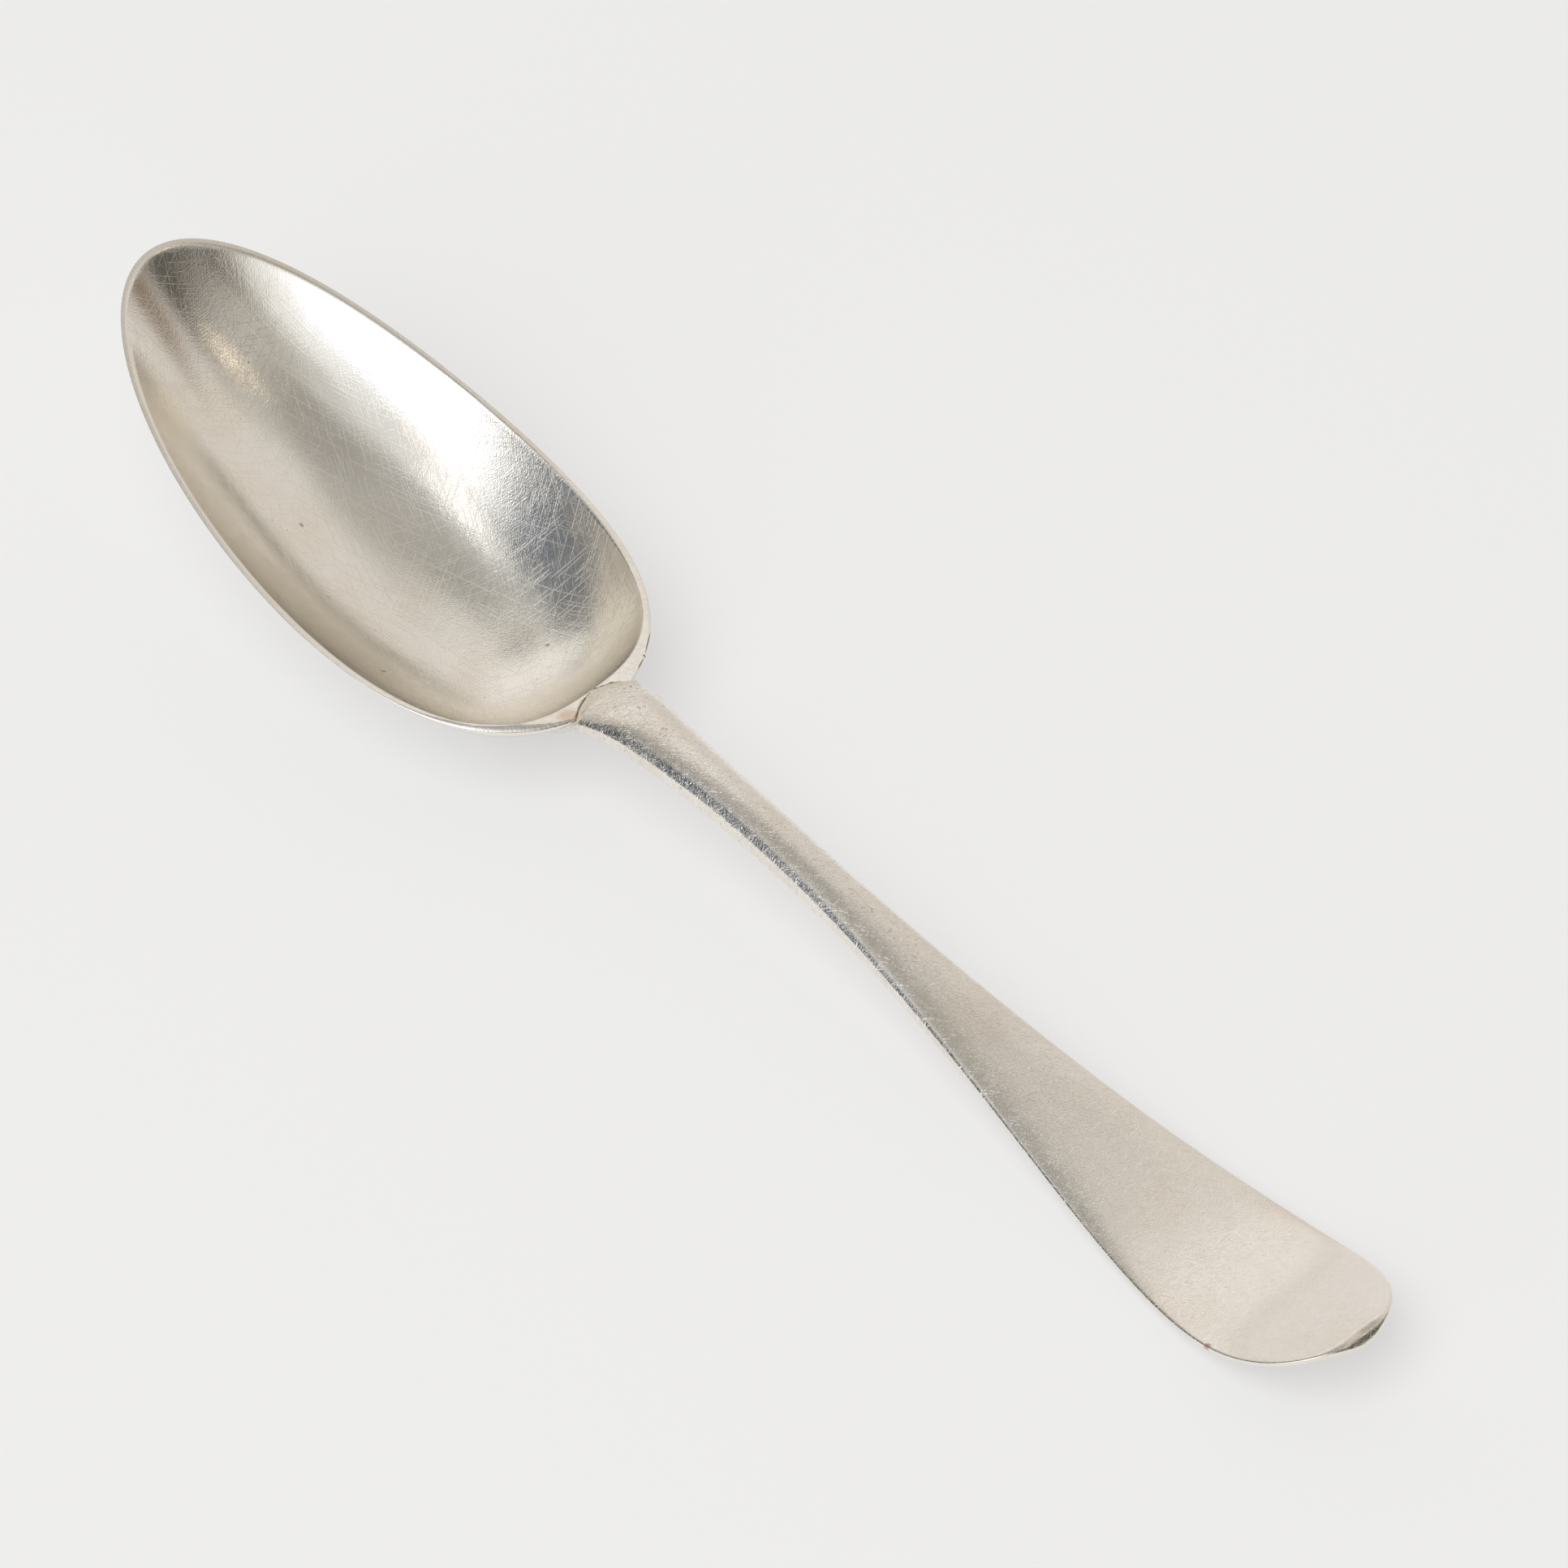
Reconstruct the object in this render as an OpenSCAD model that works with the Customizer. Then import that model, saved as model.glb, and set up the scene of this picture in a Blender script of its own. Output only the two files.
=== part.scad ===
// Teaspoon of wrought silver: a bowl raised from sheet, a forged stem, and the solder that joins them.
// The origin is on the table, under the middle of the spoon's length and width.
// +X runs from the bowl's tip to the handle's end, and +Z is up.

/* [Overall] */
// Length of the spoon, from the bowl's tip to the handle's end
spoon_length = 130; // [115:1:145]

/* [Bowl] */
// Length of the bowl, tip to heel, over the rim
bowl_length = 51.3; // [46:0.1:56]
// Width of the bowl over the rim
bowl_width = 25.7; // [23:0.1:29]
// Depth of the hollow below the rim line
bowl_depth = 7.5; // [6.5:0.05:9]
// Thickness of the bowl's bottom
bowl_wall = 0.8; // [0.6:0.05:1.2]
// Height of the rim at the tip, above the rim at the middle of the bowl
tip_lift = 7.8; // [5:0.1:10]
// Depth of the rim at the heel, below the rim at the middle of the bowl
heel_fall = 2.6; // [1:0.1:4]
// Width of the flat land on the rim, along the sides and the tip
side_land = 0.55; // [0.4:0.05:1]
// Width of the land at the heel
heel_land = 1.9; // [1.8:0.05:2.6]
// Depth that use has worn off the bowl's bottom, where it rests
rest_wear = 0.12; // [0.08:0.01:0.25]

/* [Stem] */
// Width of the stem where it leaves the bowl
neck_width = 6.4; // [5.4:0.1:7.4]
// Width of the stem at its waist
waist_width = 4.1; // [3.4:0.1:5]
// Width of the flat blade at the handle's end
blade_width = 13.3; // [11:0.1:15]
// Thickness of the stem at its neck
neck_thickness = 3.2; // [2.6:0.1:4]
// Thickness of the stem at its waist
waist_thickness = 3; // [2.4:0.1:3.6]
// Thickness of the blade
blade_thickness = 1.5; // [1.2:0.1:2]
// Height of the neck's middle above the rim at the heel
neck_lift = 0.8; // [0.3:0.1:1.5]
// Height that the handle's end turns up, from its lowest place
end_lift = 5.1; // [2:0.1:7]
// Length of the blade's round end
end_length = 12.6; // [9:0.1:16]
// Length over which the top of the blade's end rounds off
end_rounding = 0.8; // [0.5:0.1:2]
// Length over which the underside of the blade's end rounds up
end_underside = 2.5; // [1.5:0.1:4]

/* [Joint] */
// Length of the lip that the stem laps over the rim at the heel
lip_reach = 1.55; // [1:0.05:1.75]
// Thickness of the lip's front edge
lip_edge = 0.4; // [0.25:0.05:0.7]
// Length over which the lip rises to the stem's full height
lip_rise = 6; // [4:0.5:9]
// Length of the drop that runs under the bowl from the heel
drop_length = 7; // [5:0.1:8.5]
// Width of the drop
drop_width = 5.6; // [4:0.1:6.4]
// Thickness of the drop
drop_thickness = 1; // [0.7:0.05:1.2]
// Clearance between bowl and stem, which the solder is drawn into
solder_film = 0.05; // [0.03:0.01:0.1]
// Clearance between the solder's bead and the land that it lies on
solder_seat = 0.01; // [0.01:0.01:0.03]
// Width of the solder's bead along the lip
solder_width = 0.3; // [0.2:0.05:0.6]

/* [Hidden] */

// Places along the spoon
tip_x = -spoon_length / 2;
end_x = spoon_length / 2;
heel_x = tip_x + bowl_length;
bowl_half = bowl_length / 2;
bowl_middle_x = tip_x + bowl_half;
stem_length = end_x - heel_x;
lip_x = heel_x - lip_reach;

// The plan of the rim is a sine arch with a few harmonics, in shares of half the bowl's width
outline_shares = [1.047, -0.161, 0.059, -0.008];
// The hollow's centre, as a share of the bowl's length from the tip
centre_share = 0.72;
centre_x = tip_x + bowl_length * centre_share;
// The hollow's depth follows 1 - r ^ power, from the centre (r = 0) to the rim (r = 1). The power goes from
// one value toward the ends to another toward the sides.
ends_power = 3;
sides_power = 2.4;
// The bowl's back is less steep toward the heel, where the metal is thicker
back_heel_power = 2.5;
// The land keeps its side width until the last of the heel, by this power
land_power = 24;

// Steps of the meshes
bowl_sides = 72;
bowl_rings = 15;
stem_sides = 28;
stem_steps = 46;
end_steps = 12;
lip_steps = 5;
drop_steps = 12;
drop_sides = 20;
bead_steps = 24;
turn = 360;
half_turn = 180;
quarter_turn = 90;
// Small angle, and small share of a step, that keep the last ring of a round end open
last_angle = 2;
first_share = 0.3;

// Smooth curve through values at stations, with the slope at each inner station taken from its neighbours
function span_of(at, s, i = 0) = i >= len(at) - 2 || s < at[i + 1] ? i : span_of(at, s, i + 1);
function slope_of(at, v, i) =
    let (a = max(0, i - 1), b = min(len(at) - 1, i + 1))
    (v[b] - v[a]) / (at[b] - at[a]);
function flow(at, v, s) =
    let (i = span_of(at, s),
         d = at[i + 1] - at[i],
         u = max(0, min(1, (s - at[i]) / d)))
    v[i] * (1 + 2 * u) * (1 - u) ^ 2 + slope_of(at, v, i) * d * u * (1 - u) ^ 2
    + v[i + 1] * u ^ 2 * (3 - 2 * u) + slope_of(at, v, i + 1) * d * u ^ 2 * (u - 1);
function round_power(c, p) = sign(c) * abs(c) ^ (2 / p);

// Rim of the bowl in plan, by the angle from the tip (0) round the heel (180) and back
function rim_point(a) =
    [bowl_middle_x - bowl_half * cos(a),
     bowl_width / 2 * sin(a) * (outline_shares[0] + outline_shares[1] * cos(a)
                                + outline_shares[2] * cos(2 * a) + outline_shares[3] * cos(3 * a))];
function inward(a) =
    let (step = turn / bowl_sides / 4,
         d = rim_point(a + step) - rim_point(a - step))
    [d[1], -d[0]] / norm(d);
function land_width(a) = side_land + (heel_land - side_land) * ((1 - cos(a)) / 2) ^ land_power;
function inner_point(a) = rim_point(a) + inward(a) * land_width(a);

// Height of the rim line at x, before the bowl is set down: a parabola through tip, middle and heel
function rim_raw(x) =
    let (u = (x - tip_x) / bowl_length)
    tip_lift * (1 - u) * (1 - 2 * u) - heel_fall * u * (2 * u - 1);
// A point at share r of the way from the hollow's centre to an edge point, sunk by the hollow's depth there
function toward(edge, r) = [centre_x + (edge[0] - centre_x) * r, edge[1] * r];
function wall_power(edge, heel_power) =
    let (d = [edge[0] - centre_x, edge[1]],
         end = d[0] > 0 ? heel_power : ends_power)
    sides_power + (end - sides_power) * d[0] ^ 2 / (d * d);
function sunk(edge, r, depth, heel_power) =
    let (p = toward(edge, r))
    [p[0], p[1], rim_raw(p[0]) - depth * (1 - r ^ wall_power(edge, heel_power))];
back_depth = bowl_depth + bowl_wall;
lowest = min([for (k = [0 : bowl_rings * 4])
    sunk(rim_point(half_turn), k / bowl_rings / 4, back_depth, back_heel_power)[2]]);
// The bowl is set down until its lowest place is the worn depth below the table, and the wear is flat
settle = -lowest - rest_wear;
function rim_z(x) = rim_raw(x) + settle;
function set_down(p) = [p[0], p[1], max(0, p[2] + settle)];

// Rings share one count of sides. Faces join each ring to the next, and fans close both ends.
function skin_faces(rings, sides) = concat(
    [for (k = [0 : rings - 2], i = [0 : sides - 1], half = [0 : 1])
        let (j = (i + 1) % sides, a = k * sides, b = (k + 1) * sides)
        half == 0 ? [a + i, b + j, a + j] : [a + i, b + i, b + j]],
    [for (i = [1 : sides - 2]) [0, i, i + 1]],
    [for (i = [1 : sides - 2]) let (b = (rings - 1) * sides) [b, b + i + 1, b + i]]);
module skin(rings) {
    sides = len(rings[0]);
    polyhedron(points = [for (ring = rings, p = ring) p], faces = skin_faces(len(rings), sides));
}

// The bead's length as a share of the lip's width, its size at its ends as a share of that at its middle,
// and its section's corners, as shares of its width and height
bead_share = 0.84;
bead_end_share = 0.3;
bead_corner_shares = [[0, 0], [1, 0], [0.55, 0.15], [0.25, 0.4], [0, 0.9]];

// Rings of the hollow, from the centre to the inner edge, and of the back, from the outer edge to the centre
function hollow_ring(r) =
    [for (i = [0 : bowl_sides - 1]) set_down(sunk(inner_point(i * turn / bowl_sides), r, bowl_depth, ends_power))];
function back_ring(r, grow = 0) =
    [for (i = [0 : bowl_sides - 1])
        let (a = i * turn / bowl_sides)
        set_down(sunk(rim_point(a) - inward(a) * grow, r, back_depth + grow, back_heel_power))];
function raised(ring, up) = [for (p = ring) [p[0], p[1], p[2] + up]];

module bowl() {
    color([0.80, 0.78, 0.74])
    skin(concat(
        [for (k = [1 : bowl_rings]) hollow_ring(k / bowl_rings)],
        [for (k = [bowl_rings : -1 : 1]) back_ring(k / bowl_rings)]));
}

// The bowl's room: its back and everything above it up to the rim, grown by a film all round
module bowl_room(film) {
    skin(concat(
        [raised(hollow_ring(1 / bowl_rings), bowl_depth)],
        [raised(hollow_ring(1), film)],
        [raised(back_ring(1, film), film)],
        [for (k = [bowl_rings : -1 : 1]) raised(back_ring(k / bowl_rings, film), -film)]));
}

// Stations along the stem, as shares of its length from the heel, and the shares that the sizes take there
stem_stations = [0, 0.07, 0.18, 0.36, 0.54, 0.71, 0.84, 1];
neck_shares = [1, 0.44, 0, 0, 0, 0, 0, 0];
flare_shares = [0, 0, 0, 0.03, 0.31, 0.725, 1, 1];
thin_shares = [0, 0, 0, 0.3, 0.62, 0.85, 1, 1];
arch_stations = [0, 0.028, 0.07, 0.18, 0.36, 0.54, 0.71, 0.8, 0.9, 1];
root_rise_share = 0.75;
arch_shares = [1, 0.957, 0.723, 0.364, 0.058, 0, 0, 0];
turn_shares = [0, 0, 0, 0, 0, 0, 0, 0, 0.21, 1];
// Roundness of the section: 2 is an ellipse, and more is squarer
section_stations = [0, 0.3, 0.6, 1];
top_powers = [2.2, 2.4, 4.4, 5];
underside_powers = [2.2, 2.3, 2.4, 2.4];
// Share of the thickness that lies above the widest level
upper_shares = [0.5, 0.5, 0.36, 0.3];
// Roundness of the blade's end in plan
end_power = 3.17;

neck_z = rim_z(heel_x) + neck_lift;
low_z = blade_thickness / 2;
function stem_share(x) = max(0, (x - heel_x) / stem_length);
// The lip's front is a parabola in plan
function lip_round(x) = x >= heel_x ? 1 : max(0, 1 - (heel_x - x) / lip_reach) ^ 0.5;
function end_round(x) =
    let (u = max(0, 1 - (end_x - x) / end_length))
    (1 - u ^ end_power) ^ 0.5;
// The share of the thickness that is left where the blade's end rounds off over a length
function edge_round(x, length) =
    let (u = max(0, 1 - (end_x - x) / length))
    (1 - u ^ 2) ^ 0.5;
function stem_half_width(x) =
    let (s = stem_share(x))
    (waist_width + (neck_width - waist_width) * flow(stem_stations, neck_shares, s)
     + (blade_width - waist_width) * flow(stem_stations, flare_shares, s)) / 2 * lip_round(x) * end_round(x);
function stem_half_thickness(x) =
    let (s = stem_share(x))
    (waist_thickness + (neck_thickness - waist_thickness) * flow(stem_stations, neck_shares, s)
     - (waist_thickness - blade_thickness) * flow(stem_stations, thin_shares, s)) / 2;
// The stem's widest level starts at the rim, and follows the arch of the stem from there
arch_heights = concat(
    [rim_z(heel_x), rim_z(heel_x) + neck_lift * root_rise_share],
    [for (share = arch_shares) low_z + (neck_z - low_z) * share]);
function stem_level(x) =
    let (s = stem_share(x))
    x < heel_x ? rim_z(x) : flow(arch_stations, arch_heights, s) + end_lift * flow(arch_stations, turn_shares, s);

// The top of the lip rises along a parabola, from its front edge to the stem's full height
full_x = lip_x + lip_rise;
front_z = rim_z(lip_x) + lip_edge;
full_z = stem_level(full_x) + stem_half_thickness(full_x);
function stem_top(x) =
    let (u = (x - lip_x) / lip_rise)
    u < 1 ? front_z + (full_z - front_z) * u * (2 - u) - stem_level(x)
          : stem_half_thickness(x) * edge_round(x, end_rounding);

function stem_ring(x) =
    let (s = stem_share(x),
         w = stem_half_width(x),
         upper = flow(section_stations, upper_shares, s),
         top = stem_top(x) * 2 * upper,
         bottom = stem_half_thickness(x) * 2 * (1 - upper) * edge_round(x, end_underside),
         z = stem_level(x) + stem_half_thickness(x) * (1 - 2 * upper),
         top_power = flow(section_stations, top_powers, s),
         underside_power = flow(section_stations, underside_powers, s))
    [for (i = [0 : stem_sides - 1])
        let (a = i * turn / stem_sides,
             up = sin(a) > 0 ? top : bottom,
             p = sin(a) > 0 ? top_power : underside_power)
        [x, w * round_power(cos(a), p), max(0, z + up * round_power(sin(a), p))]];

blade_x = end_x - end_length;
// Rings from the lip's front to a step along the stem, evenly spaced over the lip's width
function bar_rings(steps) = concat(
    [for (k = [0 : lip_steps - 1])
        stem_ring(heel_x - lip_reach * (1 - ((k + first_share) / (lip_steps + first_share)) ^ 2))],
    [for (k = [0 : steps]) stem_ring(heel_x + (blade_x - heel_x) * k / stem_steps)]);
module stem_bar() {
    skin(concat(
        bar_rings(stem_steps),
        [for (k = [1 : end_steps]) stem_ring(blade_x + end_length * sin((quarter_turn - last_angle) * k / end_steps))]));
}

// The drop: a tongue under the bowl, thick along its middle and feathered at its sides and its round tip
drop_tip_x = heel_x - drop_length;
// Roundness of the drop's tip in plan, and how late it flares to the neck's width
drop_power = 2.4;
drop_flare_power = 6;
function back_z(x, y) =
    let (r = min(1, norm([(x - centre_x) / (heel_x - centre_x), y / (bowl_width / 2)])))
    rim_z(x) - back_depth * (1 - r ^ back_heel_power);
function drop_half_width(x) =
    let (u = min(1, max(0, 1 - (x - drop_tip_x) / drop_length)))
    (drop_width + (neck_width - drop_width) * (1 - u) ^ drop_flare_power) / 2 * (1 - u ^ drop_power) ^ 0.5;
function drop_ring(x) =
    let (w = drop_half_width(x),
         tip_share = min(1, (x - drop_tip_x) / (drop_length / 2)),
         t = drop_thickness * (1 - (1 - tip_share) ^ 2) ^ 0.5)
    [for (i = [0 : drop_sides - 1])
        let (a = i * turn / drop_sides,
             y = w * cos(a),
             up = sin(a) > 0 ? bowl_wall / 2 : t)
        [x, y, max(rest_wear, back_z(x, y) + up * sin(a))]];
module drop() {
    skin([for (k = [0 : drop_steps])
        drop_ring(drop_tip_x + drop_length * (1 - cos(last_angle + (quarter_turn - last_angle) * k / drop_steps)))]);
}

module stem() {
    color([0.76, 0.73, 0.68])
    difference() {
        union() {
            stem_bar();
            drop();
        }
        bowl_room(solder_film);
    }
}

// The bead of solder lies on the land, along the lip's front, from near one crook to near the other.
// Its section has a hollow face between the land and the lip's edge.
function seam_point(t) =
    [heel_x - lip_reach * (1 - t ^ 2), neck_width / 2 * t];
function seam_normal(t) =
    let (d = [-neck_width / 2, 2 * lip_reach * t])
    d / norm(d);
function bead_ring(t) =
    let (end_share = (1 - (t / bead_share) ^ 2) ^ 0.5,
         width = solder_width * (bead_end_share + (1 - bead_end_share) * end_share),
         height = lip_edge * (bead_end_share + (1 - bead_end_share) * end_share))
    [for (corner = bead_corner_shares)
        let (p = seam_point(t) + seam_normal(t) * (solder_film + width * corner[0]))
        [p[0], p[1], rim_z(p[0]) + solder_seat + height * corner[1]]];
module solder() {
    color([0.72, 0.60, 0.48])
    skin([for (k = [0 : bead_steps]) bead_ring(bead_share * (2 * k / bead_steps - 1))]);
}

bowl();
stem();
solder();
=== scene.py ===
"""An old silver teaspoon on a pale table: the bowl, the stem and the solder, each a computed surface.

Sizes are millimetres in the spoon's own frame, +X from the bowl's tip to the handle's end and +Z up,
and become metres where a mesh is made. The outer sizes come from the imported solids.
"""

import bpy
import numpy as np
from mathutils import Matrix, Vector


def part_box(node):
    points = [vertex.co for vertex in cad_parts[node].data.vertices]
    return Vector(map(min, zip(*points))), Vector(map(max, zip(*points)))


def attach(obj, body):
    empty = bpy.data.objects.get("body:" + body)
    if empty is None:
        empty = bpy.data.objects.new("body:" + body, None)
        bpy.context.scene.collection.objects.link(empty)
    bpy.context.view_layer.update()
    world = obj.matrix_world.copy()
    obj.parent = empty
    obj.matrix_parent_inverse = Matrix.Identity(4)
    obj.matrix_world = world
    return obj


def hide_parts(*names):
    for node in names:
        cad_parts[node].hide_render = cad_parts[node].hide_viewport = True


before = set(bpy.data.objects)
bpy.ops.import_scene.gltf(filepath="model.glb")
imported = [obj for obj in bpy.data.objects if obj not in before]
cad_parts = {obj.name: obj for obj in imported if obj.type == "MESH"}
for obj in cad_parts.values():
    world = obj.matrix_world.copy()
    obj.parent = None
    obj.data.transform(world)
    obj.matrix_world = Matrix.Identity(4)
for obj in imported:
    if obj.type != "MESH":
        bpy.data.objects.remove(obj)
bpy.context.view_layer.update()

MM = 0.001
TURN = 2 * np.pi


def node_box(name):
    """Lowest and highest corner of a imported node, in millimetres."""
    low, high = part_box(name)
    return np.array(low) / MM, np.array(high) / MM


bowl_low, bowl_high = node_box("bowl")
stem_low, stem_high = node_box("stem")

# The bowl's plan and its rim
tip_x = bowl_low[0]
heel_x = bowl_high[0]
bowl_length = heel_x - tip_x
bowl_half = bowl_length / 2
bowl_middle_x = tip_x + bowl_half
bowl_width = bowl_high[1] - bowl_low[1]
outline_shares = (1.047, -0.161, 0.059, -0.008)
middle_fall = 7.8
heel_fall = 2.6
rim_tip = bowl_high[2]
rim_middle = rim_tip - middle_fall
rim_heel = rim_middle - heel_fall

# The hollow and the metal round it. The powers say how steeply the wall ends: toward the tip and heel,
# across, and on the back toward the heel.
bowl_depth = 7.5
bowl_wall = 0.8
centre_share = 0.72
centre_x = tip_x + bowl_length * centre_share
ends_power = 3.0
sides_power = 2.4
back_heel_power = 2.5
side_land = 0.55
heel_land = 1.9
land_power = 24
edge_round = 0.13
round_share = 0.45

# The roll worn on the land's outer edge at the shoulders, by the angle on either side of the heel
shoulder_angle = 27
shoulder_spread = 17
roll_width = 0.95
roll_depth = 0.45
roll_inset = 0.05
roll_bulge = 0.42
roll_tuck = 0.03
back_tuck = 0.031
far_roll_share = 0.25

# The stem. Its spline of widths swells a little past the blade's width.
end_x = stem_high[0]
stem_length = end_x - heel_x
neck_width = 6.4
waist_width = 4.1
blade_swell = 0.13
blade_width = stem_high[1] - stem_low[1] - blade_swell
neck_thickness = 3.2
waist_thickness = 3.0
blade_thickness = 1.5
neck_lift = 0.8
end_lift = 5.1
end_length = 12.6
end_rounding = 0.8
end_underside = 2.5
low_z = blade_thickness / 2
neck_z = rim_heel + neck_lift

# The joint
lip_reach = 1.55
lip_edge = 0.4
lip_rise = 6.0
lip_x = heel_x - lip_reach
drop_length = 7.0
drop_width = 5.6
drop_thickness = 1.0
drop_root_power = 6
drop_tip_power = 2.4
drop_tip_x = heel_x - drop_length
rest_wear = 0.12


def smooth_through(stations, values, at):
    """Natural cubic spline through the values at the stations, held at its end values outside them."""
    s, v = np.array(stations, float), np.array(values, float)
    gap, rise = np.diff(s), np.diff(v) / np.diff(s)
    matrix = np.eye(len(s))
    bend = np.zeros(len(s))
    for i in range(1, len(s) - 1):
        matrix[i, i - 1:i + 2] = gap[i - 1], 2 * (gap[i - 1] + gap[i]), gap[i]
        bend[i] = 6 * (rise[i] - rise[i - 1])
    bend = np.linalg.solve(matrix, bend)
    x = np.clip(at, s[0], s[-1])
    k = np.clip(np.searchsorted(s, x, side="right") - 1, 0, len(s) - 2)
    a, b = s[k + 1] - x, x - s[k]
    h = gap[k]
    return (bend[k] * a ** 3 + bend[k + 1] * b ** 3) / (6 * h) \
        + (v[k] / h - bend[k] * h / 6) * a + (v[k + 1] / h - bend[k + 1] * h / 6) * b


def signed_power(value, power):
    """The value's size raised to a power, with its sign kept: sign(v) |v| ^ power."""
    return np.sign(value) * np.abs(value) ** power


def add_mesh(name, points, faces):
    """A smooth-shaded object from points in millimetres."""
    mesh = bpy.data.meshes.new(name)
    mesh.from_pydata((points * MM).tolist(), [], faces)
    mesh.shade_smooth()
    piece = bpy.data.objects.new(name, mesh)
    bpy.context.scene.collection.objects.link(piece)
    return piece


def skin(rings, first_pole=None, last_pole=None):
    """Points and faces of rings of equal length, each joined to the next, with a fan to each pole."""
    count, sides = rings.shape[:2]
    index = np.arange(count * sides).reshape(count, sides)
    after = np.roll(index, -1, axis=1)
    faces = np.stack([index[:-1], after[:-1], after[1:], index[1:]], axis=-1).reshape(-1, 4).tolist()
    points = rings.reshape(-1, 3)
    for pole, ring, winding in ((first_pole, 0, 1), (last_pole, -1, -1)):
        if pole is not None:
            points = np.vstack([points, pole])
            top = len(points) - 1
            faces += [(top, b, a)[::winding] for a, b in zip(index[ring].tolist(), after[ring].tolist())]
    return points, faces


def rim_plan(a):
    """The rim's outer edge in plan, by the angle from the tip round the heel.

    x goes as -cos a, and y as sin a times a sum of shares of cos k a.
    """
    arch = sum(share * np.cos(k * a) for k, share in enumerate(outline_shares))
    x = bowl_middle_x - bowl_half * np.cos(a)
    return np.stack([x, bowl_width / 2 * np.sin(a) * arch], axis=-1)


def inward(a):
    """Unit normal of the rim in plan, towards the hollow: its chord over a small step, turned square."""
    step = 0.004
    d = rim_plan(a + step) - rim_plan(a - step)
    return np.stack([d[..., 1], -d[..., 0]], axis=-1) / np.linalg.norm(d, axis=-1, keepdims=True)


def rim_z(x):
    """Height of the rim line: a parabola through the tip, the middle and the heel."""
    u = (x - tip_x) / bowl_length
    return rim_tip * (1 - u) * (1 - 2 * u) + 4 * rim_middle * u * (1 - u) + rim_heel * u * (2 * u - 1)


def sunk(edge, r, depth, heel_power=ends_power):
    """Points at share r from the hollow's centre to the edge, below the rim by depth (1 - r ^ power).

    The power is ends_power toward the tip, heel_power toward the heel and sides_power straight across,
    with cos^2 between.
    """
    along, across = edge[..., 0] - centre_x, edge[..., 1]
    end_power_here = np.where(along > 0, heel_power, ends_power)
    power = sides_power + (end_power_here - sides_power) * along ** 2 / (along ** 2 + across ** 2)
    x = centre_x + along * r
    z = np.maximum(0, rim_z(x) - depth * (1 - r ** power))
    return np.stack([x, across * r, z], axis=-1)


def on_rim(plan):
    """Plan points raised to the rim line."""
    return np.concatenate([plan, rim_z(plan[..., :1])], axis=-1)


def round_corner(before, corner, after, steps):
    """Rings of a quadratic curve that rounds the corner: (1-t)^2 before + 2t(1-t) corner + t^2 after."""
    return [(1 - t) ** 2 * before + 2 * t * (1 - t) * corner + t ** 2 * after
            for t in np.linspace(0, 1, steps)]


def land_width(a):
    """The land's width by the angle: from the sides' to the heel's by a power of (1 - cos a) / 2."""
    return side_land + (heel_land - side_land) * ((1 - np.cos(a)) / 2) ** land_power


def roll_share(a):
    """How far the outer edge is rolled: a bell exp(-u^2) at each shoulder, lower at the far one."""
    u = (np.abs(np.degrees(a) - 180) - shoulder_angle) / shoulder_spread
    return np.exp(-u ** 2) * np.where(a > TURN / 2, 1, far_roll_share)


def make_bowl():
    """Rings from the hollow's middle up to the land, over its two rounded edges, and down the back.

    The outer edge is a cubic curve from the land, over and down the side of the roll, to the back.
    """
    a = np.arange(720) / 720 * TURN
    outer, into = rim_plan(a), inward(a)
    inner = outer + into * land_width(a)[:, None]
    land_edge = on_rim(inner - into * edge_round)
    back = bowl_depth + bowl_wall
    shares = np.linspace(0.03, 0.985, 46)
    corner_share = 0.99
    shoulder = roll_share(a)
    rolled = shoulder[:, None]
    fall = np.array([0, 0, -roll_depth]) * rolled
    roll_from = on_rim(outer + into * (edge_round + (roll_width - edge_round) * rolled))
    roll_over = on_rim(outer + into * (round_share * edge_round + roll_bulge * rolled))
    roll_side = on_rim(outer + into * (roll_inset * rolled)) + fall
    roll_end = sunk(outer, corner_share - roll_tuck * shoulder, back, back_heel_power)
    rings = [sunk(inner, r, bowl_depth) for r in shares]
    rings += round_corner(sunk(inner, corner_share, bowl_depth), on_rim(inner), land_edge, 5)
    rings += [land_edge * (1 - t) + roll_from * t for t in (0.35, 0.65)]
    rings += [(1 - t) ** 3 * roll_from + 3 * t * (1 - t) ** 2 * roll_over
              + 3 * t ** 2 * (1 - t) * roll_side + t ** 3 * roll_end for t in np.linspace(0, 1, 14)]
    rings += [sunk(outer, r * (1 - back_tuck * shoulder), back, back_heel_power) for r in shares[::-1]]
    hollow_middle = (centre_x, 0, rim_z(centre_x) - bowl_depth)
    back_middle = (centre_x, 0, max(0, rim_z(centre_x) - back))
    points, faces = skin(np.array(rings), hollow_middle, back_middle)
    return add_mesh("silver_bowl", points, faces)


# The stem's widths, thicknesses and heights as shares at stations from the heel to the end, and the
# powers of its superellipse sections
stem_stations = (0, 0.07, 0.18, 0.36, 0.54, 0.71, 0.84, 1)
neck_shares = (1, 0.44, 0, 0, 0, 0, 0, 0)
flare_shares = (0, 0, 0, 0.03, 0.31, 0.725, 1, 1)
thin_shares = (0, 0, 0, 0.3, 0.62, 0.85, 1, 1)
arch_stations = (0, 0.028, 0.07, 0.18, 0.36, 0.54, 0.71, 0.8, 0.9, 1)
arch_shares = (1, 0.957, 0.723, 0.364, 0.058, 0, 0, 0)
turn_shares = (0, 0, 0, 0, 0, 0, 0, 0, 0.21, 1)
root_rise_share = 0.75
section_stations = (0, 0.3, 0.6, 1)
top_powers = (2.05, 2.25, 3.6, 4.4)
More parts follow.
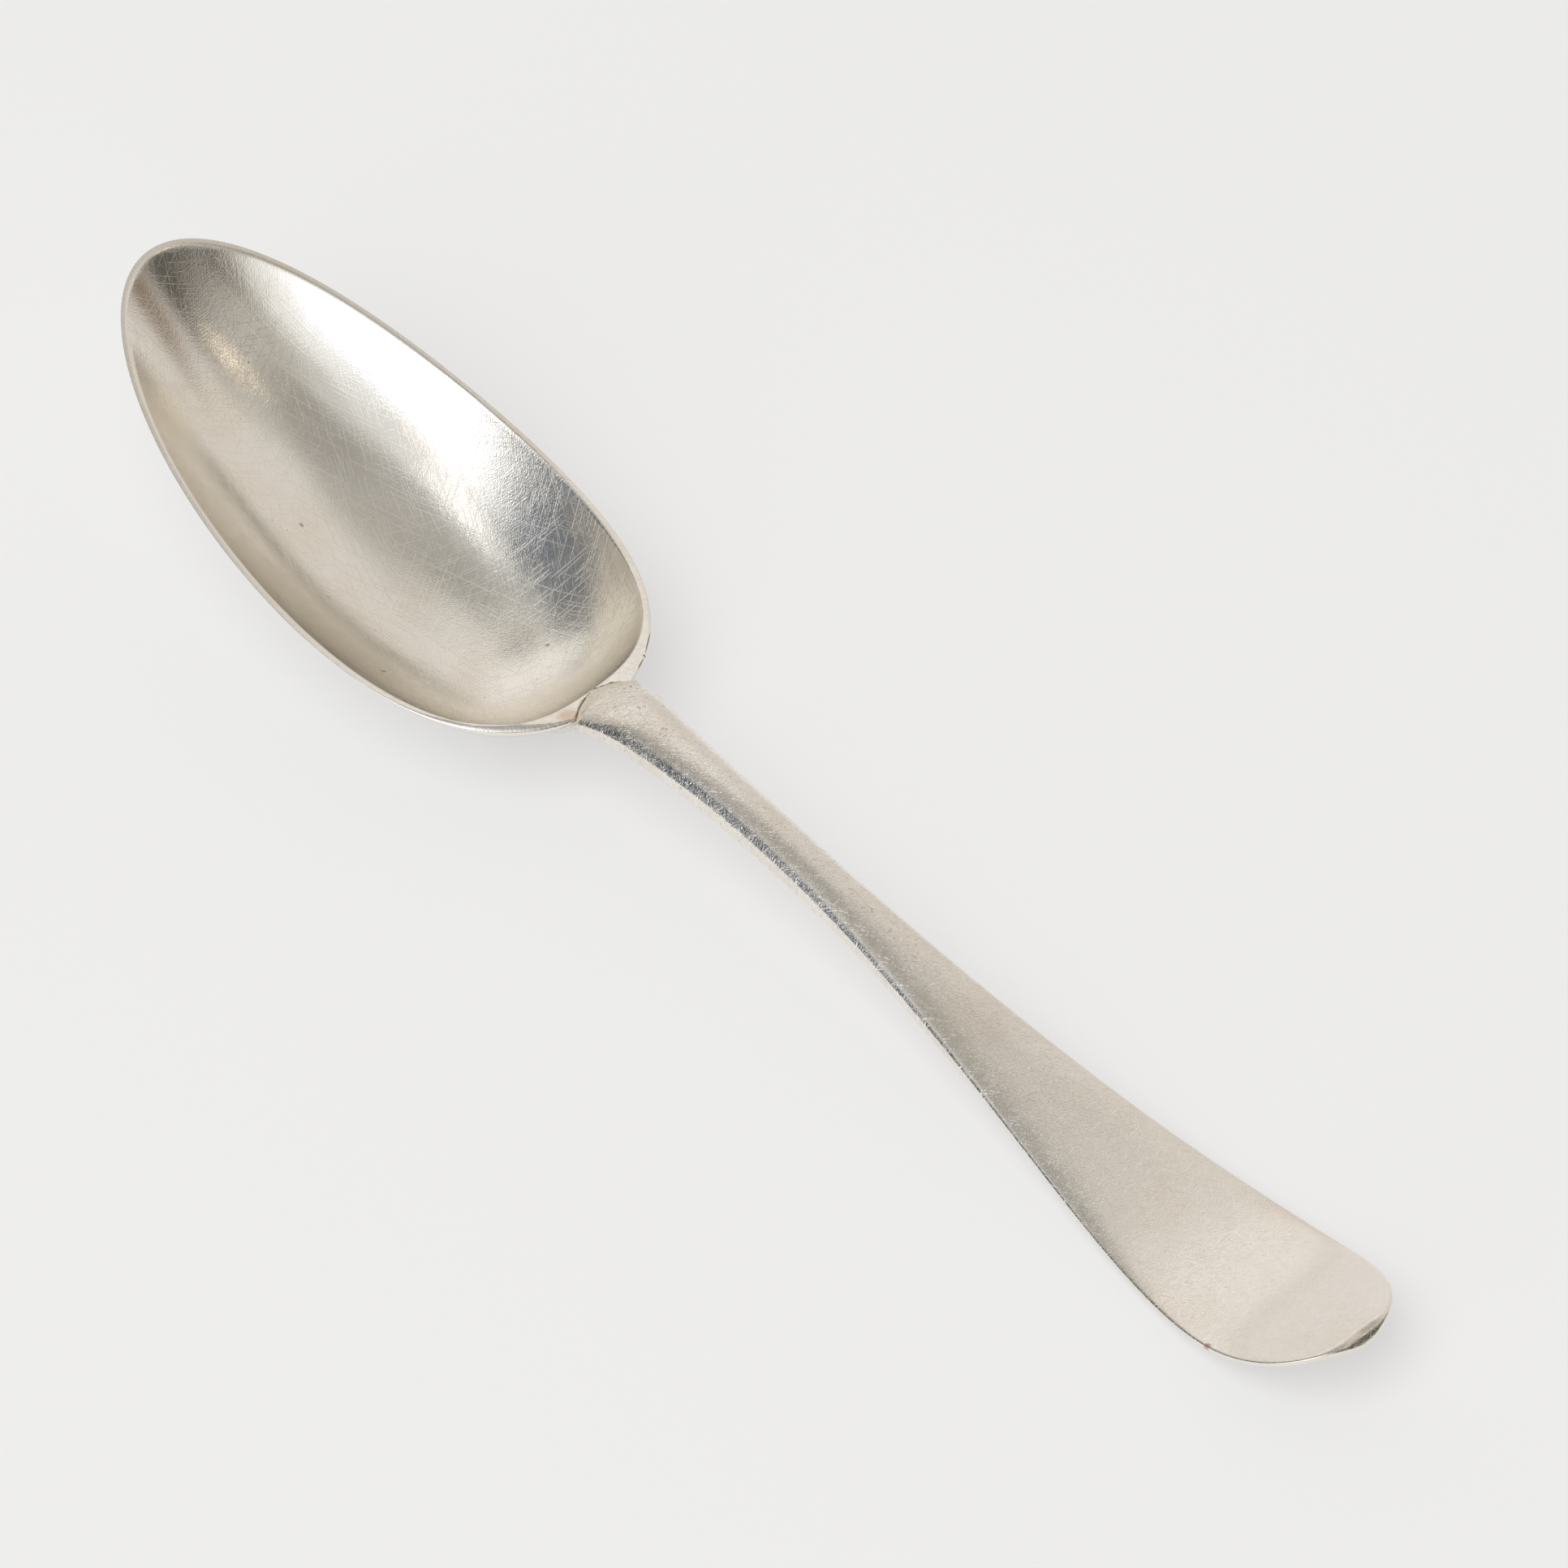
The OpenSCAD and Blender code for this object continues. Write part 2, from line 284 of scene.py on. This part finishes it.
underside_powers = (2.2, 2.3, 2.4, 2.4)
upper_shares = (0.5, 0.5, 0.36, 0.3)
end_power = 3.17
corner_crowding = 0.19

# The knocked edge of the blade's end
bent_middle = -0.3
bent_half_width = 2.2
bent_depth = 1.1
bent_length = 1.25
bent_side_share = 0.4
bent_power = 1.6
bent_underside_share = 0.7


def stem_share(x):
    """How far x lies from the heel to the end, from 0 to 1."""
    return np.maximum(0, (x - heel_x) / stem_length)


def lip_round(x):
    """The lip's share of the full width: a square root, so that its front is a parabola in plan."""
    return np.where(x >= heel_x, 1, np.maximum(0, 1 - (heel_x - x) / lip_reach) ** 0.5)


def stem_half_width(x):
    """Half the waist's width, with shares of the neck's and blade's added, and both ends rounded."""
    s = stem_share(x)
    end = np.clip(1 - (end_x - x) / end_length, 0, 1)
    neck = (neck_width - waist_width) * smooth_through(stem_stations, neck_shares, s)
    flare = (blade_width - waist_width) * smooth_through(stem_stations, flare_shares, s)
    return (waist_width + neck + flare) / 2 * lip_round(x) * (1 - end ** end_power) ** 0.5


def stem_half_thickness(x):
    """Half the waist's thickness, with shares of the neck's added and of the thin blade's taken off."""
    s = stem_share(x)
    neck = (neck_thickness - waist_thickness) * smooth_through(stem_stations, neck_shares, s)
    thin = (waist_thickness - blade_thickness) * smooth_through(stem_stations, thin_shares, s)
    return (waist_thickness + neck - thin) / 2


def end_round_off(x, length):
    """The share of the thickness left where the blade's end rounds off by a quarter circle."""
    return (1 - np.clip(1 - (end_x - x) / length, 0, 1) ** 2) ** 0.5


def stem_level(x):
    """Height of the stem's middle level: a spline over the neck, down to the table and up at the end."""
    s = stem_share(x)
    heights = [rim_heel, rim_heel + neck_lift * root_rise_share]
    heights += [low_z + (neck_z - low_z) * share for share in arch_shares]
    arch = smooth_through(arch_stations, heights, s)
    return np.where(x < heel_x, rim_z(x), arch + end_lift * smooth_through(arch_stations, turn_shares, s))


def stem_top(x):
    """The top's height above the middle level: a parabola from the lip's edge to half the thickness."""
    u = (x - lip_x) / lip_rise
    full_x = np.array(lip_x + lip_rise)
    front, full = rim_z(lip_x) + lip_edge, stem_level(full_x) + stem_half_thickness(full_x)
    over_lip = front + (full - front) * u * (2 - u) - stem_level(x)
    return np.where(u < 1, over_lip, stem_half_thickness(x) * end_round_off(x, end_rounding))


def bent_down(x, y):
    """How far the blade's end is knocked down: a bell exp(-u^2) across, times a power toward the edge."""
    edge_x = end_x - end_length * (1 - np.clip(1 - (2 * y / blade_width) ** 2, 0, 1) ** (1 / end_power))
    bell = np.exp(-((y - bent_middle) / bent_half_width) ** 2)
    length = bent_length * (bent_side_share + (1 - bent_side_share) * bell)
    return bent_depth * bell * np.clip(1 - (edge_x - x) / length, 0, 1) ** bent_power


def stem_rings(x, sides):
    """Superellipse sections at each x: w cos^(2/p) across and h sin^(2/p) up, with other h and p below.

    The angles crowd toward the corners, and the upper share sets the height of the widest level.
    """
    s, w, half = stem_share(x), stem_half_width(x)[:, None], stem_half_thickness(x)
    upper = smooth_through(section_stations, upper_shares, s)
    top = (stem_top(x) * 2 * upper)[:, None]
    bottom = (half * 2 * (1 - upper) * end_round_off(x, end_underside))[:, None]
    level = (stem_level(x) + half * (1 - 2 * upper))[:, None]
    a = np.arange(sides) / sides * TURN
    a = a - corner_crowding * np.sin(4 * a)
    top_power = smooth_through(section_stations, top_powers, s)[:, None]
    underside_power = smooth_through(section_stations, underside_powers, s)[:, None]
    power = np.where(np.sin(a) > 0, top_power, underside_power)
    across = w * signed_power(np.cos(a), 2 / power)
    rise = np.where(np.sin(a) > 0, top, bottom) * signed_power(np.sin(a), 2 / power)
    height_share = np.clip(0.5 + 0.5 * rise / half[:, None], 0, 1)
    moved_share = bent_underside_share + (1 - bent_underside_share) * height_share
    z = np.maximum(0, level + rise - bent_down(x[:, None], across) * moved_share)
    return np.stack([x[:, None] + 0 * across, across, z], axis=-1)


def back_z(x, y):
    """Height of the bowl's back near the heel: the rim line less depth (1 - r ^ back_heel_power)."""
    r = np.minimum(1, np.hypot((x - centre_x) / (heel_x - centre_x), y / (bowl_width / 2)))
    return rim_z(x) - (bowl_depth + bowl_wall) * (1 - r ** back_heel_power)


def drop_rings(x, sides):
    """The drop's sections: half an ellipse under the bowl's back, and a low one over it in the wall."""
    u = np.clip(1 - (x - drop_tip_x) / drop_length, 0, 1)
    width = drop_width + (neck_width - drop_width) * (1 - u) ** drop_root_power
    w = width / 2 * (1 - u ** drop_tip_power) ** 0.5
    tip_share = np.minimum(1, (x - drop_tip_x) / (drop_length / 2))
    thick = drop_thickness * (1 - (1 - tip_share) ** 2) ** 0.5
    a = np.arange(sides) / sides * TURN
    y = w[:, None] * np.cos(a)
    rise = np.where(np.sin(a) > 0, bowl_wall / 2, thick[:, None]) * np.sin(a)
    z = np.maximum(rest_wear, back_z(x[:, None], y) + rise)
    return np.stack([x[:, None] + 0 * y, y, z], axis=-1)


stem_sides = 144
drop_sides = 64


def make_stem():
    """Sections from the lip's front to the round end, close together at both, and the drop."""
    lip = lip_x + lip_reach * np.linspace(0.04, 1, 16) ** 2
    bar = np.linspace(heel_x, end_x - end_length, 300)
    end = end_x - end_length + end_length * np.sin(np.linspace(0, 1, 110) * np.radians(89))
    x = np.concatenate([lip[:-1], bar, end[1:]])
    rings = stem_rings(x, stem_sides)
    points, faces = skin(rings, rings[0].mean(axis=0), rings[-1].mean(axis=0))
    drop_x = drop_tip_x + drop_length * (1 - np.cos(np.radians(np.linspace(2, 90, 40))))
    drop = drop_rings(drop_x, drop_sides)
    more, more_faces = skin(drop, drop[0].mean(axis=0), drop[-1].mean(axis=0))
    faces += [tuple(i + len(points) for i in face) for face in more_faces]
    return add_mesh("silver_stem", np.vstack([points, more]), faces)


# The bead of solder: how much of the lip's front it covers, its width, its clearances, how full it is at
# its ends, its ripple, and its hollow-faced section as shares of its width and of the lip's edge
bead_reach = 0.86
bead_width = 0.2
bead_gap = 0.02
bead_lift = 0.005
bead_end_share = 0.3
bead_ripple = 0.25
bead_out_shares = (0, 1, 0.8, 0.55, 0.38, 0.25, 0.12, 0)
bead_up_shares = (0, 0, 0.06, 0.15, 0.27, 0.42, 0.65, 0.9)


def make_solder():
    """The bead along the lip's front: its section carried along the seam's parabola.

    Its fullness is half an ellipse along the seam, with a ripple of two sines.
    """
    t = np.linspace(-bead_reach, bead_reach, 120)[:, None]
    seam = np.stack([heel_x - lip_reach * (1 - t ** 2), neck_width / 2 * t], axis=-1)
    away = np.stack([-neck_width / 2 + 0 * t, 2 * lip_reach * t], axis=-1)
    away /= np.linalg.norm(away, axis=-1, keepdims=True)
    full = bead_end_share + (1 - bead_end_share) * (1 - (t / bead_reach) ** 2) ** 0.5
    full = full * (1 + bead_ripple * np.sin(9 * t + 1) * np.sin(23 * t))
    plan = seam + away * (bead_gap + bead_width * full * np.array(bead_out_shares))[..., None]
    z = rim_z(plan[..., 0]) + bead_lift + lip_edge * full * np.array(bead_up_shares)
    rings = np.concatenate([plan, z[..., None]], axis=-1)
    points, faces = skin(rings, rings[0].mean(axis=0), rings[-1].mean(axis=0))
    return add_mesh("solder_bead", points, faces)


class Nodes:
    """Short calls for a material's or the world's shader nodes."""

    def __init__(self, tree):
        self.tree = tree
        tree.nodes.clear()

    def add(self, kind, inputs=None, **settings):
        """A node with its settings, and its inputs linked to sockets or set to values."""
        node = self.tree.nodes.new(kind)
        for key, value in settings.items():
            setattr(node, key, value)
        for key, value in (inputs or {}).items():
            if isinstance(value, bpy.types.NodeSocket):
                self.tree.links.new(value, node.inputs[key])
            else:
                node.inputs[key].default_value = value
        return node

    def math(self, operation, *values):
        """One math operation on values or sockets."""
        return self.add("ShaderNodeMath", dict(enumerate(values)), operation=operation).outputs[0]

    def ramp(self, value, low, high, out_low=0.0, out_high=1.0):
        """Smooth step from out_low to out_high while the value goes from low to high."""
        inputs = {0: value, 1: low, 2: high, 3: out_low, 4: out_high}
        return self.add("ShaderNodeMapRange", inputs, interpolation_type="SMOOTHSTEP").outputs[0]

    def mix(self, share, first, second):
        """The first colour, or the second where the share is 1."""
        return self.add("ShaderNodeMix", {0: share, 6: first, 7: second}, data_type="RGBA").outputs[2]

    def noise(self, coords, scale, detail, shift=(0, 0, 0)):
        """Soft noise with a scale per metre."""
        moved = self.add("ShaderNodeMapping", {0: coords, 1: shift}).outputs[0]
        inputs = {"Vector": moved, "Scale": scale, "Detail": detail}
        return self.add("ShaderNodeTexNoise", inputs).outputs[0]

    def drawn_noise(self, coords, turn, length, width, seed):
        """Noise seen from above, drawn out to a length and width in millimetres and turned."""
        place = (seed * 0.013, seed * 0.029, 0)
        drawn = self.placed(coords, place, turn, length, width)
        return self.add("ShaderNodeTexNoise", {"Vector": drawn, "Scale": 1.0, "Detail": 0.0}).outputs[0]

    def placed(self, coords, place, turn, length, width):
        """Coordinates from a place in metres, turned, and measured by a length and width in millimetres."""
        inputs = {0: coords, 1: place, 2: (0, 0, np.radians(turn)), 3: (length * MM, width * MM, 1)}
        return self.add("ShaderNodeMapping", inputs, vector_type="TEXTURE").outputs[0]

    def total(self, shares):
        """The sum of values, each times its share."""
        whole = 0.0
        for value, share in shares:
            whole = self.math("MULTIPLY_ADD", value, share, whole)
        return whole


def new_material(name):
    """A material, its nodes and its object coordinates."""
    material = bpy.data.materials.new(name)
    material.use_nodes = True
    n = Nodes(material.node_tree)
    return material, n, n.add("ShaderNodeTexCoord").outputs["Object"]


def scratch_field(n, coords, layers):
    """Long thin scratches: in each layer the peaks of a drawn-out noise, with a slight bend."""
    bend = n.add("ShaderNodeTexNoise", {"Vector": coords, "Scale": 55.0, "Detail": 0.0}).outputs["Color"]
    inputs = {0: bend, 1: (0.004, 0.004, 0.0), 2: coords}
    bent = n.add("ShaderNodeVectorMath", inputs, operation="MULTIPLY_ADD")
    deepest = 0.0
    for seed, (turn, length, width, level) in enumerate(layers):
        peaks = n.drawn_noise(bent.outputs[0], turn, length, width, seed + 3)
        deepest = n.math("MAXIMUM", deepest, n.ramp(peaks, level, level + 0.07))
    return deepest


def hatching(n, coords, length, width):
    """Short rubbed strokes in four directions, averaged."""
    turns = (8, 47, 92, 138)
    layers = [n.drawn_noise(coords, turn, length, width, 5 + turn) for turn in turns]
    return n.total([(layer, 1 / len(turns)) for layer in layers])


def along_spoon(n, coords, from_x, to_x, first, last):
    """A value that goes smoothly from the first to the last while x goes from one place to another."""
    x = n.add("ShaderNodeSeparateXYZ", {0: coords}).outputs[0]
    return n.ramp(x, from_x * MM, to_x * MM, first, last)


def mark(n, coords, x, y, turn, half_length, half_width, strength):
    """A soft-edged ellipse seen from above, in millimetres."""
    place = n.placed(coords, (x * MM, y * MM, 0), turn, half_length, half_width)
    flat = n.add("ShaderNodeVectorMath", {0: place, 1: (1.0, 1.0, 0.0)}, operation="MULTIPLY").outputs[0]
    away = n.add("ShaderNodeVectorMath", {0: flat}, operation="LENGTH").outputs["Value"]
    return n.ramp(away, 0.5, 1.2, strength, 0.0)


pit_colour = (0.30, 0.25, 0.21, 1)
pit_darkness = 0.42


def silver(name, tint, worn, rough, scratches, scratch_depth, stroke, stroke_depth, wear, pit_level,
           pit_depth, marks):
    """Old silver: two tints in soft blotches, scratches, rubbed strokes, small pits and uneven polish.

    A stroke has a length and a width in millimetres, and depths are hundredths of a millimetre. Wear says
    how the scratches and strokes grow along the spoon: from where to where, and from how much to how much.
    """
    material, n, coords = new_material(name)
    blotch = n.ramp(n.noise(coords, 130, 3.0), 0.42, 0.66)
    lines = scratch_field(n, coords, scratches)
    pits = n.ramp(n.noise(coords, 3100, 1.0), pit_level, pit_level + 0.06)
    pits = n.math("MULTIPLY", pits, along_spoon(n, coords, 4, 30, 1.0, 0.0))
    colour = n.mix(blotch, tint, worn)
    colour = n.mix(n.math("MULTIPLY", pits, pit_darkness), colour, pit_colour)
    # Each mark mixes in its colour: stains, specks and a copper tint, and on the bowl painted shade along
    # the far shoulder's creased edge
    for *place, stain_and_shade in marks:
        colour = n.mix(mark(n, coords, *place), colour, (*stain_and_shade, 1))
    roughness = n.ramp(n.noise(coords, 260, 4.0, (4, 1, 7)), 0.35, 0.7, rough[0], rough[1])
    rubbed = n.total([(lines, -scratch_depth), (hatching(n, coords, *stroke), stroke_depth)])
    height = n.total([(rubbed, along_spoon(n, coords, *wear)), (pits, -pit_depth)])
    bump = n.add("ShaderNodeBump", {"Height": height, "Distance": 0.00001, "Strength": 1.0}).outputs[0]
    shader = n.add("ShaderNodeBsdfPrincipled",
                   {"Base Color": colour, "Metallic": 1.0, "Roughness": roughness, "Normal": bump})
    n.add("ShaderNodeOutputMaterial", {"Surface": shader.outputs[0]})
    return material


def solder_metal():
    """Dull solder, darker and redder than the silver."""
    material, n, coords = new_material("tarnished_solder")
    patch = n.ramp(n.noise(coords, 900, 3.0), 0.4, 0.65)
    colour = n.mix(patch, (0.66, 0.56, 0.45, 1), (0.84, 0.77, 0.68, 1))
    bump = n.add("ShaderNodeBump", {"Height": n.noise(coords, 3000, 3.0), "Distance": 0.00003}).outputs[0]
    shader = n.add("ShaderNodeBsdfPrincipled",
                   {"Base Color": colour, "Metallic": 1.0, "Roughness": 0.42, "Normal": bump})
    n.add("ShaderNodeOutputMaterial", {"Surface": shader.outputs[0]})
    return material


table_half = 1500.0
table_tone = 0.855
table_glow_share = 0.55


def make_floor():
    """A wide pale table that keeps the spoon's shadow.

    Part of its tone is plain light, for the camera and for what the metal mirrors.
    """
    points = table_half * np.array([(-1, -1, 0), (1, -1, 0), (1, 1, 0), (-1, 1, 0)])
    floor = add_mesh("table", points, [(0, 1, 2, 3)])
    material = bpy.data.materials.new("pale_table")
    material.use_nodes = True
    n = Nodes(material.node_tree)
    tone = (table_tone, table_tone, table_tone, 1)
    lit = n.add("ShaderNodeBsdfDiffuse", {"Color": tone}).outputs[0]
    glow = n.add("ShaderNodeEmission", {"Color": tone}).outputs[0]
    path = n.add("ShaderNodeLightPath").outputs
    seen = n.math("MAXIMUM", path["Is Camera Ray"], path["Is Glossy Ray"])
    seen = n.math("MAXIMUM", seen, path["Is Transmission Ray"])
    share = n.math("MULTIPLY", seen, table_glow_share)
    surface = n.add("ShaderNodeMixShader", {0: share, 1: lit, 2: glow}).outputs[0]
    n.add("ShaderNodeOutputMaterial", {"Surface": surface})
    floor.data.materials.append(material)


# The studio by direction, in degrees. Each panel has its middle's azimuth and elevation, its half width
# and half height, the softness of its sides and of its top and bottom, its tilt and its light. A later
# panel lies over an earlier one.
panels = (
    ("grey ceiling north-west", 168, 74, 52, 7, 20, 10, 0, (0.35, 0.35, 0.33)),
    ("ceiling over the south", 0, 70, 42, 9, 24, 12, 0, (0.345, 0.33, 0.30)),
    ("north wall", 128, 20, 79, 44, 12, 12, 0, (0.71, 0.675, 0.635)),
    ("grey west", -164, 38, 17, 34, 14, 14, 0, (0.52, 0.50, 0.46)),
    ("north window", 158, 46, 31, 17, 16, 10, 0, (0.87, 0.84, 0.81)),
    ("north-west low wall", 158, 8, 26, 14, 12, 10, 0, (0.79, 0.76, 0.735)),
    ("dark west", -136, 22, 13, 34, 12, 12, 0, (0.12, 0.125, 0.12)),
    ("dark north-west", -156, 63, 19, 3, 12, 7, -19, (0.22, 0.22, 0.21)),
    ("grey south-west", -117, 16, 16, 32, 6, 12, 0, (0.06, 0.08, 0.11)),
    ("pale south-west", -116, 57, 16, 11, 12, 10, 0, (0.60, 0.61, 0.61)),
    ("softbox haze", -68, 51, 38, 12, 12, 12, 0, (0.74, 0.74, 0.73)),
    ("pale band", 0, 53, 55, 5, 16, 8, 0, (0.52, 0.51, 0.48)),
    ("softbox east wing", -50, 32, 14, 18, 12, 8, 0, (0.93, 0.94, 0.95)),
    ("softbox", -79, 12, 24, 26, 14, 16, 0, (1.6, 1.66, 1.76)),
    ("dark east", 10, 27, 34, 16, 12, 10, 0, (0.10, 0.095, 0.085)),
    ("brown east", 56, 20, 9, 12, 9, 9, -20, (0.25, 0.20, 0.15)),
    ("low brown east", 50, 5, 20, 10, 12, 8, 0, (0.32, 0.28, 0.235)),
    ("golden lamp", 30, 51, 10, 0.7, 2, 1.0, -38, (3.4, 2.9, 2.2)),
)
room_light = (0.42, 0.40, 0.37)
ceiling_light = (0.435, 0.42, 0.395)


def make_world():
    """A soft studio: a grey room and ceiling with panels laid over it by direction."""
    world = bpy.data.worlds.new("studio")
    bpy.context.scene.world = world
    world.use_nodes = True
    n = Nodes(world.node_tree)
    direction = n.add("ShaderNodeTexCoord").outputs["Generated"]
    parts = n.add("ShaderNodeSeparateXYZ", {0: direction}).outputs
    azimuth = n.math("DEGREES", n.math("ARCTAN2", parts[1], parts[0]))
    elevation = n.math("DEGREES", n.math("ARCSINE", parts[2]))
    colour = n.mix(n.ramp(elevation, 40, 75), (*room_light, 1), (*ceiling_light, 1))
    for _, middle, height, half_width, half_height, soft_side, soft_top, tilt, light in panels:
        cos, sin = np.cos(np.radians(tilt)), np.sin(np.radians(tilt))
        turned = n.math("WRAP", n.math("SUBTRACT", azimuth, middle), 180.0, -180.0)
        raised = n.math("SUBTRACT", elevation, height)
        across = n.math("ABSOLUTE", n.total([(turned, cos), (raised, sin)]))
        along = n.math("ABSOLUTE", n.total([(raised, cos), (turned, -sin)]))
        wide = n.ramp(across, half_width - soft_side / 2, half_width + soft_side / 2, 1.0, 0.0)
        tall = n.ramp(along, half_height - soft_top / 2, half_height + soft_top / 2, 1.0, 0.0)
        colour = n.mix(n.math("MULTIPLY", wide, tall), colour, (*light, 1))
    background = n.add("ShaderNodeBackground", {"Color": colour, "Strength": 1.0})
    n.add("ShaderNodeOutputWorld", {"Surface": background.outputs[0]})


def make_lamps():
    """One wide soft lamp overhead for an even table. The metal mirrors the studio, not the lamp."""
    lamp = bpy.data.lights.new("overhead", "AREA")
    lamp.shape = "DISK"
    lamp.size = 1.1
    lamp.energy = 7.0
    place = bpy.data.objects.new("overhead", lamp)
    place.location = (0.0, -0.5, 1.0)
    place.rotation_mode = "QUATERNION"
    place.rotation_quaternion = place.location.to_track_quat("Z", "Y")
    place.visible_glossy = False
    bpy.context.scene.collection.objects.link(place)


# The studio stands close, so its sides show in the bowl and not in the stem. Each light stands one metre
# away and has its azimuth and elevation in degrees, its width and height in metres, and its radiance.
bowl_lights = (
    ("softbox_side", -104, 35, 0.28, 0.95, 0.60),
    ("window_side", -159, 42, 0.36, 0.72, 0.28),
    ("west_haze", -132, 28, 0.70, 0.95, 0.10),
)


def make_bowl_lights(bowl):
    """Soft panels that light the bowl alone: energy is radiance times area times pi."""
    lit = bpy.data.collections.new("lit_from_the_sides")
    lit.objects.link(bowl)
    for name, azimuth, elevation, width, height, radiance in bowl_lights:
        lamp = bpy.data.lights.new(name, "AREA")
        lamp.shape = "RECTANGLE"
        lamp.size, lamp.size_y = width, height
        lamp.energy = radiance * width * height * np.pi
        place = bpy.data.objects.new(name, lamp)
        az, el = np.radians([azimuth, elevation])
        way = Vector((np.cos(el) * np.cos(az), np.cos(el) * np.sin(az), np.sin(el)))
        place.location = Vector((centre_x * MM, 0, 0)) + way
        place.rotation_mode = "QUATERNION"
        place.rotation_quaternion = way.to_track_quat("Z", "Y")
        bpy.context.scene.collection.objects.link(place)
        place.light_linking.receiver_collection = lit


# The camera stands as the photograph's did: worked out from the spoon's own mirror symmetry
camera_azimuth = -43.305
camera_elevation = 49.0
camera_distance = 600.0
camera_target = (-3.807, 8.719, 0.0)
photo_pixels = 1932
focal_pixels = 9890
sensor_width = 36.0


def make_camera():
    """A long lens aimed at the target from its azimuth and elevation."""
    az, el = np.radians([camera_azimuth, camera_elevation])
    back = Vector((np.cos(el) * np.cos(az), np.cos(el) * np.sin(az), np.sin(el)))
    right = Vector((-np.sin(az), np.cos(az), 0))
    up = back.cross(right)
    data = bpy.data.cameras.new("camera")
    data.sensor_width = sensor_width
    data.lens = focal_pixels / photo_pixels * sensor_width
    data.clip_start, data.clip_end = 0.01, 10.0
    camera = bpy.data.objects.new("camera", data)
    place = (Vector(camera_target) + back * camera_distance) * MM
    camera.matrix_world = Matrix.Translation(place) @ Matrix((right, up, back)).transposed().to_4x4()
    bpy.context.scene.collection.objects.link(camera)
    bpy.context.scene.camera = camera


def finish_piece(piece, node, material):
    """Dress a piece, let it ride on the one body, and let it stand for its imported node."""
    piece.data.materials.append(material)
    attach(piece, "root")
    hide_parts(node)


# Scratches: direction in degrees, length and width in millimetres, and how rare they are
bowl_scratches = (
    (20, 5, 0.10, 0.68),
    (63, 3.5, 0.09, 0.68),
    (112, 5, 0.10, 0.68),
    (155, 6, 0.10, 0.69),
    (-32, 3, 0.08, 0.67),
)
stem_scratches = (
    (75, 1.5, 0.11, 0.58),
    (105, 1.8, 0.12, 0.60),
    (-15, 5, 0.13, 0.67),
    (38, 2.0, 0.11, 0.60),
    (135, 1.6, 0.11, 0.61),
)

# Stains, a nick's brown spot, specks, a copper tint, and on the bowl's far shoulder dark lines of painted
# shade where its edge is creased: plan place, direction in degrees, half length and half width, strength
# and colour
brown_mark, copper_mark, rust_mark = (0.20, 0.16, 0.13), (0.74, 0.60, 0.47), (0.50, 0.33, 0.27)
bowl_marks = (
    # Painted shade: these three dark brown lines on the far shoulder stand in for the shade of its creased
    # edge, which the bowl's surface does not have
    (-16.2, 6.43, -53, 1.07, 0.05, 0.9, brown_mark),
    (-15.0, 4.58, -65, 0.60, 0.06, 0.8, brown_mark),
    (-15.4, 5.35, 10, 0.16, 0.08, 0.9, brown_mark),
    (-14.9, -2.75, 60, 0.95, 0.62, 0.85, copper_mark),
    (-44.9, -3.0, 0, 0.22, 0.16, 0.6, brown_mark),
    (-25.3, 4.4, 30, 0.20, 0.15, 0.6, brown_mark),
    (-30.5, -7.5, 60, 0.25, 0.14, 0.6, brown_mark),
)
stem_marks = (
    (55.8, -6.65, 30, 0.32, 0.22, 0.7, rust_mark),
    (-12.9, 1.7, -20, 0.22, 0.09, 0.7, brown_mark),
    (-14.2, -2.6, 60, 0.80, 0.35, 0.4, copper_mark),
)

make_camera()
make_world()
make_lamps()
make_floor()

bowl_silver = silver(
    "bowl_silver", tint=(0.93, 0.895, 0.835, 1), worn=(0.90, 0.85, 0.77, 1), rough=(0.11, 0.18),
    scratches=bowl_scratches, scratch_depth=0.36, stroke=(0.8, 0.07), stroke_depth=1.7,
    wear=(-52, -24, 0.9, 1.6), pit_level=0.76, pit_depth=0.4, marks=bowl_marks)
stem_silver = silver(
    "stem_silver", tint=(0.93, 0.885, 0.82, 1), worn=(0.90, 0.84, 0.76, 1), rough=(0.15, 0.22),
    scratches=stem_scratches, scratch_depth=2.0, stroke=(0.5, 0.085), stroke_depth=2.4,
    wear=(22, 46, 1.0, 0.35), pit_level=0.675, pit_depth=0.6, marks=stem_marks)
silver_bowl = make_bowl()
finish_piece(silver_bowl, "bowl", bowl_silver)
make_bowl_lights(silver_bowl)
finish_piece(make_stem(), "stem", stem_silver)
finish_piece(make_solder(), "solder", solder_metal())

bpy.context.scene.view_settings.view_transform = "Standard"
